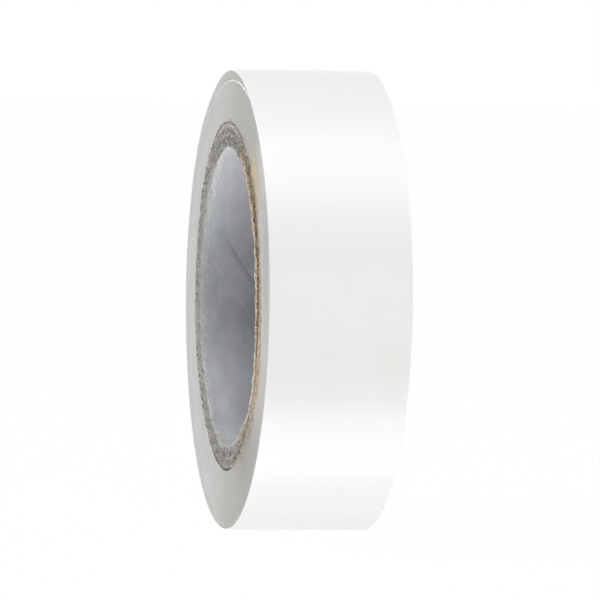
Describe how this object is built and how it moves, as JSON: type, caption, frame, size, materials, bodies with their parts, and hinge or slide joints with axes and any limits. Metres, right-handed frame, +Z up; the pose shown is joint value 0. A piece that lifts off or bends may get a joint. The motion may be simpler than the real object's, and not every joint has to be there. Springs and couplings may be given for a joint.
{
  "type": "electrical tape roll",
  "caption": "Roll of white vinyl electrical tape on a spiral-wound paper core, with a free tail that peels from the outer turn.",
  "frame": {"origin": "the centre of the core's bore, on its axis at the middle of its width, 0.45 mm above the middle of the winding", "axes": "+Y along the bore's axis, +Z up with the roll standing on its edge, +X towards the front; the strip's free tail is on the -X side"},
  "size_m": [0.0588, 0.018, 0.0587],
  "materials": {
    "liner_paper": "smooth, matt blue-grey paper",
    "core_board": "grey-brown board, cut rough at the ends",
    "tape_laps": "cut edges of the wound film, matt warm grey-white",
    "tape_face": "soft white vinyl film with a satin gloss"
  },
  "bodies": {
    "roll": {"core_liner": "liner_paper", "core_ply_1": "core_board", "core_ply_2": "core_board", "core_ply_3": "core_board", "core_ply_4": "core_board", "core_ply_5": "core_board", "core_cover": "core_board", "inner_laps": "tape_laps", "slipped_laps": "tape_laps", "outer_turn": "tape_face"},
    "tail": {"tail": "tape_face"}
  },
  "joints": [
    {"name": "tail_peel", "type": "hinge", "parent": "roll", "child": "tail", "pos_m": [-0.02618, 0, 0.01304], "axis": [0, 1, 0], "range_deg": [0, 120]}
  ]
}
